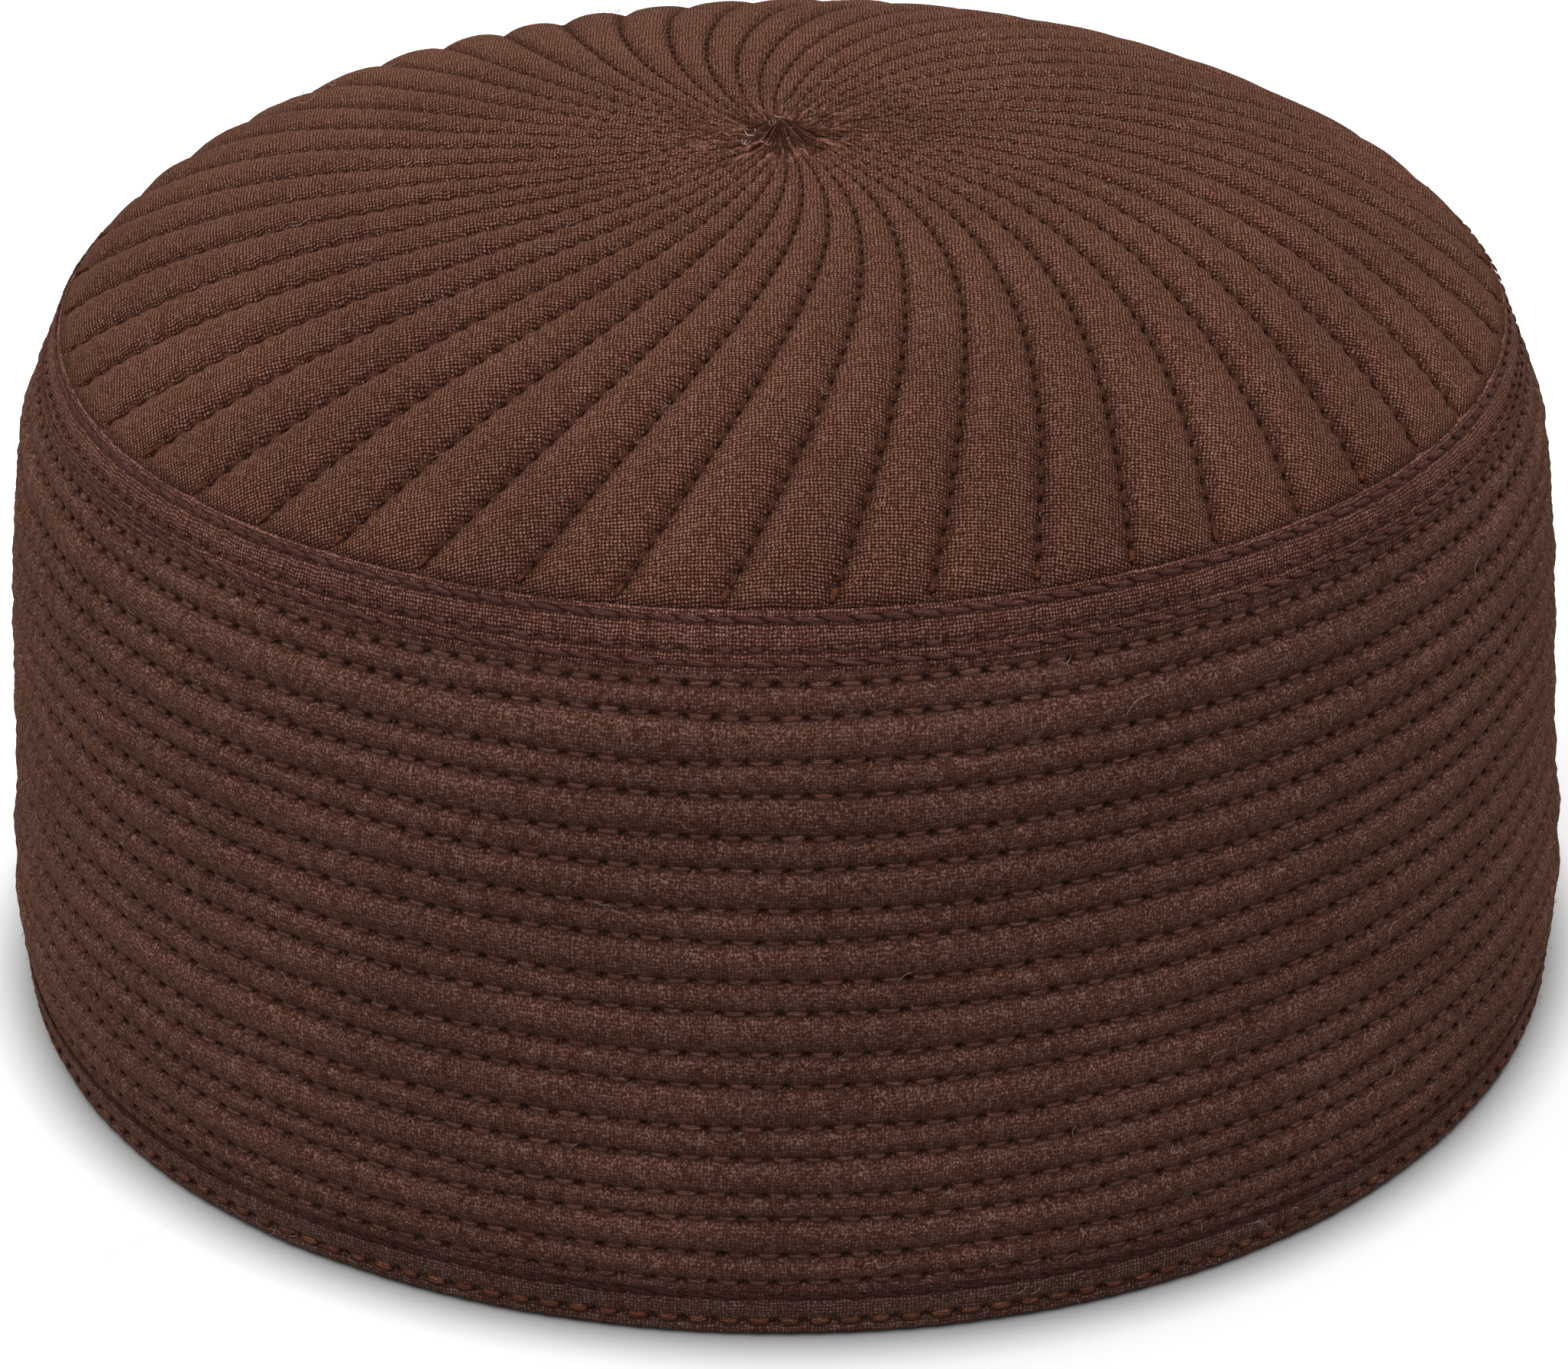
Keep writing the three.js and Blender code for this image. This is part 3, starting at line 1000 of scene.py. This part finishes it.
class Wiring:
    """Adds shader nodes to a material or a world and joins them.

    An input is a value or another node's output.
    """

    def __init__(self, owner):
        owner.use_nodes = True
        self.owner = owner
        self.tree = owner.node_tree
        self.tree.nodes.clear()

    def node(self, kind, inputs=None, **settings):
        node = self.tree.nodes.new("ShaderNode" + kind)
        for name, value in settings.items():
            setattr(node, name, value)
        for name, value in (inputs or {}).items():
            if isinstance(value, bpy.types.NodeSocket):
                self.tree.links.new(value, node.inputs[name])
            else:
                node.inputs[name].default_value = value
        return node

    def math(self, operation, *values):
        return self.node("Math", dict(enumerate(values)), operation=operation).outputs[0]

    def times(self, first, second):
        return self.math("MULTIPLY", first, second)

    def times_plus(self, first, second, added):
        return self.math("MULTIPLY_ADD", first, second, added)

    def vector(self, operation, first, second):
        return self.node("VectorMath", {0: first, 1: second}, operation=operation).outputs[0]

    def noise(self, vector, scale, detail, **inputs):
        return self.node("TexNoise", {"Vector": vector, "Scale": scale, "Detail": detail, **inputs})

    def fade(self, value, start, end, low=0.0, high=1.0):
        inputs = {"Value": value, "From Min": start, "From Max": end, "To Min": low, "To Max": high}
        return self.node("MapRange", inputs, interpolation_type="SMOOTHSTEP").outputs[0]

    def blend(self, factor, first, second, mode="MIX"):
        node = self.node("Mix", {0: factor, 6: first, 7: second}, data_type="RGBA", blend_type=mode)
        return node.outputs[2]

    def shaded(self, colour, factor):
        """A colour made darker or lighter by a factor, or a vector made shorter or longer."""
        return self.node("VectorMath", {0: colour, "Scale": factor}, operation="SCALE").outputs[0]

    def uv(self, name):
        place = self.node("UVMap", uv_map=name).outputs[0]
        split = self.node("SeparateXYZ", {0: place})
        return place, split.outputs[0], split.outputs[1]

    def surface(self, colour, height, roughness, bump, depth, sheen):
        normal = self.node("Bump", {"Strength": bump, "Distance": depth, "Height": height})
        shader = self.node("BsdfPrincipled", {"Base Color": colour, "Normal": normal.outputs[0]})
        shader.inputs["Roughness"].default_value = roughness
        shader.inputs["Specular IOR Level"].default_value = 0.03
        shader.inputs["Sheen Weight"].default_value = sheen
        shader.inputs["Sheen Roughness"].default_value = 0.55
        shader.inputs["Sheen Tint"].default_value = (1.0, 0.53, 0.30, 1.0)
        self.node("OutputMaterial", {"Surface": shader.outputs[0]})
        return self.owner


def new_material(name):
    return Wiring(bpy.data.materials.new(name))


def opaque(colour):
    return (*colour, 1.0)


def yarn_tops(wire, across, up, waver, crispness):
    """How much of a yarn's round top shows at each place of a plain weave, and a random number for
    each crossing. The waver pulls the yarns aside, more where the cloth is less crisp."""
    pull = wire.node("SeparateXYZ", {0: waver.outputs["Color"]})
    stray = 1.9 + 1.3 * (1 - crispness)
    across = wire.times_plus(pull.outputs[0], stray, across)
    up = wire.times_plus(pull.outputs[1], stray, up)
    wave_across = wire.math("SINE", wire.times(across, math.pi))
    wave_up = wire.math("SINE", wire.times(up, math.pi))
    upright_over = wire.math("GREATER_THAN", wire.times(wave_across, wave_up), 0.0)
    blunt = wire.times_plus(upright_over, 0.9, 0.45)
    sharp = wire.math("SUBTRACT", 1.8, blunt)
    bulge_across = wire.math("POWER", wire.math("ABSOLUTE", wave_across), blunt)
    bulge_up = wire.math("POWER", wire.math("ABSOLUTE", wave_up), sharp)
    cell = wire.node("CombineXYZ", {0: wire.math("FLOOR", across), 1: wire.math("FLOOR", up)})
    knot = wire.node("TexWhiteNoise", {"Vector": cell.outputs[0]}, noise_dimensions="2D")
    return wire.fade(wire.times(bulge_across, bulge_up), 0.34, 0.95), knot.outputs["Value"]


def curled_fibres(wire, place, fuzz, beside, crispness):
    """Short lit fibres that stand out of the cloth, most by the needle holes, and a painted highlight of
    more of them on the lit part of each rib and channel.
    """
    curls = wire.noise(place, 1700.0, 1.0, Distortion=0.5)
    curl = wire.math("ABSOLUTE", wire.math("SUBTRACT", curls.outputs[0], 0.5))
    fibre = wire.times(wire.fade(curl, 0.0, 0.04, 1.0, 0.0), wire.fade(fuzz, 0.42, 0.6))
    # Painted highlight on the lit part of each rib and channel, where more fibres show
    fuzz_and_highlight = wire.node("Attribute", attribute_name="fuzz_and_highlight").outputs["Fac"]
    shown = wire.times_plus(fuzz_and_highlight, 0.9, 0.15 + 0.25 * (1 - crispness))
    shown = wire.times(shown, wire.fade(wire.math("ABSOLUTE", beside), 0.2, 1.4, 1.5, 0.6))
    return wire.times(fibre, shown)


def woven_cloth(name, yarn, hole_spacing, crispness, crease_width, hole_shade):
    """A plain weave of lit yarn tops over gaps in painted shade, fuzzy where it is less crisp, with curled
    fibres on it and, by the crown's middle, strands that run out from there.

    It has painted shade in a crease of the given width in millimetres along each row, and at the needle
    holes, whose painted shade is from 0, black, to 1, none.
    """
    wire = new_material(name)
    place = wire.node("TexCoord").outputs["Object"]
    waver = wire.noise(place, 380.0, 3.0, Roughness=0.74)
    weave, across, up = wire.uv("weave")
    top, knot = yarn_tops(wire, across, up, waver, crispness)
    slub = wire.noise(weave, 0.22, 3.0, Roughness=0.7)
    blotch = wire.noise(place, 45.0, 2.0)
    fuzz = wire.noise(place, 3400.0, 3.0, Roughness=0.6).outputs[0]

    _, stitch, away = wire.uv("quilt")
    beside = wire.math("SUBTRACT", stitch, wire.math("ROUND", stitch))
    beside = wire.times(beside, hole_spacing / MM)
    distance = wire.math(
        "SQRT", wire.math("ADD", wire.times(beside, beside), wire.times(away, away)))
    ragged = wire.times_plus(waver.outputs[0], 1.0, distance)
    # Painted shade in and round each needle hole
    hole = wire.fade(ragged, 0.45, 1.05, hole_shade, 1.0)
    # Painted shade in the crease along each row
    painted_crease_shade = wire.fade(away, 0.0, crease_width, 0.62, 1.0)

    middle = wire.node("Attribute", attribute_name="middle").outputs["Fac"]
    plain_top = wire.times(top, wire.math("SUBTRACT", 1.0, middle))
    top = wire.math("ADD", plain_top, gathers(wire, place, middle))
    lit = wire.times_plus(top, crispness, 0.20 * (1 - crispness))
    lit = wire.times(lit, wire.times_plus(knot, 1.1, 0.45))
    lit = wire.times(lit, wire.fade(slub.outputs[0], 0.3, 0.7, 0.8, 1.2))
    lit = wire.times(lit, wire.fade(fuzz, 0.3, 0.7, 0.35, 1.65))
    lit = wire.times_plus(curled_fibres(wire, place, fuzz, beside, crispness), 1.1, lit)
    # The painted hole and crease shade dim the lit tops
    lit = wire.times(lit, wire.times(hole, painted_crease_shade))
    warm = wire.blend(knot, opaque((1.12, 0.93, 0.78)), opaque((0.92, 1.0, 1.10)))
    tinted = wire.blend(1.0, opaque(yarn), warm, "MULTIPLY")
    # Between the lit tops the weave takes the yarn's painted shade colour
    colour = wire.blend(lit, opaque(cloth().shaded_gap_yarn), tinted)
    # Random blotches, times the painted shade at the needle holes
    shade = wire.times(wire.fade(blotch.outputs[0], 0.3, 0.7, 0.9, 1.1), hole)
    # The painted crease shade darkens the whole colour too
    shade = wire.times(shade, wire.fade(away, 0.0, crease_width, 0.78, 1.0))
    height = wire.times_plus(fuzz, 0.35, wire.times(top, crispness))
    colour = wire.shaded(colour, shade)
    return wire.surface(colour, height, roughness=0.93, bump=0.7, depth=0.14 * MM, sheen=0.10)


def gathers(wire, place, middle):
    """Lit strands that run out from the crown's middle, as strong as the attribute "middle"."""
    flat = wire.vector("MULTIPLY", place, (1.0, 1.0, 0.0))
    heading = wire.node("VectorMath", {0: flat}, operation="NORMALIZE").outputs[0]
    radius = wire.node("VectorMath", {0: flat}, operation="LENGTH").outputs["Value"]
    run = wire.node("CombineXYZ", {2: wire.times(radius, 260.0)}).outputs[0]
    lane = wire.vector("ADD", wire.shaded(heading, 13.0), run)
    strand = wire.noise(lane, 1.0, 3.0, Roughness=0.6)
    return wire.times(wire.fade(strand.outputs[0], 0.47, 0.66), middle)


def sewing_thread(name, thread):
    """Fine light strands that run along the thread, with painted shade between them and where it enters the
    cloth.
    """
    wire = new_material(name)
    _, along, across = wire.uv("strand")
    copy = wire.math("ROUND", wire.times(along, 1 / STRAND_STEP))
    own = wire.node("TexWhiteNoise", {"W": copy}, noise_dimensions="1D").outputs["Value"]
    lane = wire.node("CombineXYZ", {0: wire.times(along, 2.2), 1: across}).outputs[0]
    frayed = wire.noise(lane, 1.6, 3.0)
    wander = wire.times_plus(frayed.outputs[0], 2.6, wire.times(across, 3.2))
    ridge = wire.math("SINE", wire.times(wire.math("ADD", wander, own), TURN))
    broken = wire.noise(lane, 5.0, 2.0)
    whole = wire.fade(broken.outputs[0], 0.35, 0.6, 0.2, 1.0)
    lit = wire.times(wire.fade(ridge, -0.2, 0.9), whole)
    lit = wire.times(lit, wire.times_plus(own, 0.8, 0.4))
    lit = wire.times_plus(lit, 0.8, 0.2)

    ends = wire.math("ABSOLUTE", wire.math("SUBTRACT", along, wire.times(copy, STRAND_STEP)))
    # Painted shade where the thread dives into its holes: its lit strands fade and its whole colour darkens
    lit = wire.times(lit, wire.fade(ends, 0.2, 0.48, 1.0, 0.05))
    # Between the lit strands the thread takes its painted shade colour
    colour = wire.blend(lit, opaque(cloth().thread_gap_shade), opaque(thread))
    colour = wire.shaded(colour, wire.fade(ends, 0.3, 0.5, 1.0, 0.45))
    return wire.surface(colour, ridge, roughness=0.8, bump=0.5, depth=0.06 * MM, sheen=0.04)


def lint_fibre(name, colour):
    """Pale fibre, darker here and there."""
    wire = new_material(name)
    tint = wire.noise(wire.node("TexCoord").outputs["Object"], 150.0, 1.0).outputs[0]
    shade = wire.shaded(tuple(colour), wire.fade(tint, 0.35, 0.65, 0.45, 1.2))
    return wire.surface(shade, tint, roughness=0.7, bump=0.1, depth=0.01 * MM, sheen=0.1)


def floor_paper(name, glare):
    """Plain pale paper, overexposed as in a bright studio, with a contact shadow at the rim painted into its
    colour.
    """
    wire = new_material(name)
    # Painted contact shadow: an ambient occlusion node darkens the paper's colour where the cap hides it
    nearby = wire.node("AmbientOcclusion", samples=8)
    nearby.inputs["Distance"].default_value = 7 * MM
    painted_contact_shadow = wire.math("POWER", nearby.outputs["AO"], 1.15)
    paper = wire.node("BsdfDiffuse", {"Color": wire.shaded((glare, glare, glare), painted_contact_shadow)})
    wire.node("OutputMaterial", {"Surface": paper.outputs[0]})
    return wire.owner


# Operators, one for each piece or group of like pieces


class CAP_OT_crown(bpy.types.Operator):
    """Sews the padded crown with its swirling ribs"""

    bl_idname = "cap.crown"
    bl_label = "Crown"

    def execute(self, context):
        spacing = crown_flat(1.0) / shape().line_stitches
        material = woven_cloth(
            "crown_weave", cloth().crown_yarn, float(spacing), crispness=1.0, crease_width=2.2,
            hole_shade=0.4)
        piece = add_piece(sew_crown_mesh(), material, "crown")
        return {"FINISHED"}


class CAP_OT_wall(bpy.types.Operator):
    """Sews the padded wall with its level channels"""

    bl_idname = "cap.wall"
    bl_label = "Wall"

    def execute(self, context):
        material = woven_cloth(
            "wall_weave", cloth().wall_yarn, wall_spacing(), crispness=0.28, crease_width=1.0,
            hole_shade=0.45)
        piece = add_piece(sew_wall_mesh(), material, "side_band")
        return {"FINISHED"}


def from_seam(distance):
    return shape().seam_height - distance


def from_rim(distance):
    return distance


def strip_rows(rows, above):
    """Heights of a strip's rows, and whether their holes show."""
    return [(above(distance * MM), holes) for distance, _, _, _, holes in rows]


class CAP_OT_trims(bpy.types.Operator):
    """Sews the welt over the crown's seam and turns the hem at the rim"""

    bl_idname = "cap.trims"
    bl_label = "Welt and hem"

    def execute(self, context):
        look = shape()
        welt_weave = woven_cloth(
            "welt_weave", cloth().welt_yarn, wall_spacing(), crispness=0.7, crease_width=0.9,
            hole_shade=0.5)
        hem_weave = woven_cloth(
            "hem_weave", cloth().hem_yarn, wall_spacing(), crispness=0.5, crease_width=0.9,
            hole_shade=0.4)
        welt = strip_mesh(
            "shoulder_welt", from_seam(look.welt_height), look.seam_height, look.welt_puff,
            look.cloth_thickness, strip_rows(WELT_ROWS, from_seam), len(wall_lines()) - 1)
        welt = add_piece(welt, welt_weave, "top_welt")
        hem = strip_mesh(
            "turned_hem", 0, look.hem_height, look.hem_puff, look.hem_thickness,
            strip_rows(HEM_ROWS, from_rim), 0)
        hem = add_piece(hem, hem_weave, "bottom_hem")
        return {"FINISHED"}


class CAP_OT_stitches(bpy.types.Operator):
    """Lays the threads of every stitched row and line"""

    bl_idname = "cap.stitches"
    bl_label = "Stitches"

    def execute(self, context):
        welt_rows = trim_row_stitches(WELT_ROWS, 111, from_seam)
        hem_row = trim_row_stitches(HEM_ROWS[:1], 121, from_rim)
        fold_row = trim_row_stitches(HEM_ROWS[1:], 125, from_rim)
        strands = middle_strands(MIDDLE_STRANDS, 141)
        for name, places, thread, rise, slot in (
            ("wall_stitches", wall_row_stitches(), "row_thread", 0.14 * MM, "band_cloth"),
            ("crown_stitches", crown_line_stitches(), "crease_shaded_thread", 0.16 * MM, "crown_cloth"),
            ("seam_tacks", seam_tacks(), "tack_thread", 0.20 * MM, "crown_cloth"),
            ("welt_stitches", welt_rows, "plum_thread", 0.10 * MM, "welt_cloth"),
            ("hem_stitches", hem_row, "hem_thread", 0.12 * MM, "hem_cloth"),
            ("fold_stitches", fold_row, "fold_thread", 0.08 * MM, "hem_cloth"),
            ("middle_strands", strands, "middle_thread", 0.10 * MM, "crown_cloth"),
        ):
            material = sewing_thread(thread, getattr(cloth(), thread))
            add_piece(stitch_mesh(name, *places, rise), material, None)
        return {"FINISHED"}


class CAP_OT_lint(bpy.types.Operator):
    """Scatters the pale fibres that cling to the cloth"""

    bl_idname = "cap.lint"
    bl_label = "Lint"

    def execute(self, context):
        material = lint_fibre("lint", cloth().lint_colour)
        add_piece(lint_mesh("lint", LINT_FIBRES, 131), material, None)
        return {"FINISHED"}


class CAP_OT_stage(bpy.types.Operator):
    """Sets the pale floor, the soft light and the camera"""

    bl_idname = "cap.stage"
    bl_label = "Stage"

    def execute(self, context):
        stage = context.scene.cap_stage
        add_floor(stage)
        add_lights(stage)
        add_camera(stage)
        context.scene.view_settings.view_transform = "Standard"
        return {"FINISHED"}


def add_floor(stage):
    bm = bmesh.new()
    bmesh.ops.create_grid(bm, x_segments=1, y_segments=1, size=FLOOR_REACH)
    bmesh.ops.translate(bm, verts=bm.verts[:], vec=(0, 0, -FLOOR_GAP))
    mesh = finished_mesh("floor", bm)
    floor = bpy.data.objects.new("floor", mesh)
    mesh.materials.append(floor_paper("floor_paper", stage.floor_glare))
    floor.visible_diffuse = False
    bpy.context.scene.collection.objects.link(floor)


def add_lights(stage):
    add_soft_box("side_box", (-1.0, 0.35, 0.7), 0.8, stage.side_power)
    add_soft_box("front_box", (-0.3, -1.27, 0.9), 0.9, stage.front_power)
    add_soft_box("back_box", (0.9, 0.8, 0.9), 0.8, stage.back_power)
    bpy.context.scene.world = white_room(stage.room_level, stage.room_climb)


def add_soft_box(name, place, size, power):
    """A round soft light that faces the cap."""
    box = bpy.data.lights.new(name, "AREA")
    box.shape = "DISK"
    box.size = size
    box.energy = power
    lamp = bpy.data.objects.new(name, box)
    lamp.location = place
    lamp.rotation_euler = (Vector(LIGHT_AIM) - lamp.location).to_track_quat("-Z", "Y").to_euler()
    bpy.context.scene.collection.objects.link(lamp)


def white_room(level, climb):
    """White light from all round, stronger from above and fading out below."""
    wire = Wiring(bpy.data.worlds.new("white_room"))
    upright = wire.node("SeparateXYZ", {0: wire.node("TexCoord").outputs["Generated"]}).outputs["Z"]
    strength = wire.math("MAXIMUM", wire.times_plus(upright, climb, level), 0.0)
    glow = wire.node("Background", {"Color": (1, 1, 1, 1), "Strength": strength})
    wire.node("OutputWorld", {"Surface": glow.outputs[0]})
    return wire.owner


def add_camera(stage):
    camera = bpy.data.cameras.new("camera")
    camera.lens = stage.lens
    camera.sensor_width = 36
    camera.clip_start = 0.01
    view = bpy.data.objects.new("camera", camera)
    back = stage.distance
    place = Vector((
        stage.aim_side,
        -back * math.cos(stage.elevation),
        stage.aim_height + back * math.sin(stage.elevation),
    ))
    tilt = Matrix.Rotation(math.pi / 2 - stage.elevation, 4, "X")
    view.matrix_world = Matrix.Translation(place) @ tilt @ Matrix.Rotation(stage.roll, 4, "Z")
    bpy.context.scene.collection.objects.link(view)
    bpy.context.scene.camera = view


class CAP_PT_panel(bpy.types.Panel):
    """Lists the cap's operators and their settings"""

    bl_label = "Quilted Prayer Cap"
    bl_idname = "CAP_PT_panel"
    bl_space_type = "VIEW_3D"
    bl_region_type = "UI"
    bl_category = "Cap"

    def draw(self, context):
        for group in (context.scene.cap_shape, context.scene.cap_cloth, context.scene.cap_stage):
            box = self.layout.box()
            for name in group.__annotations__:
                box.prop(group, name)
        for operator in OPERATORS:
            self.layout.operator(operator.bl_idname)


OPERATORS = (CAP_OT_crown, CAP_OT_wall, CAP_OT_trims, CAP_OT_stitches, CAP_OT_lint, CAP_OT_stage)
GROUPS = (CapShape, CapCloth, CapStage)
CLASSES = (*GROUPS, *OPERATORS, CAP_PT_panel)


def register():
    for item in CLASSES:
        bpy.utils.register_class(item)
    bpy.types.Scene.cap_shape = PointerProperty(type=CapShape)
    bpy.types.Scene.cap_cloth = PointerProperty(type=CapCloth)
    bpy.types.Scene.cap_stage = PointerProperty(type=CapStage)


def unregister():
    del bpy.types.Scene.cap_stage
    del bpy.types.Scene.cap_cloth
    del bpy.types.Scene.cap_shape
    for item in reversed(CLASSES):
        bpy.utils.unregister_class(item)


def main():
    register()
    bpy.ops.cap.crown()
    bpy.ops.cap.wall()
    bpy.ops.cap.trims()
    bpy.ops.cap.stitches()
    bpy.ops.cap.lint()
    bpy.ops.cap.stage()


if __name__ == "__main__":
    main()
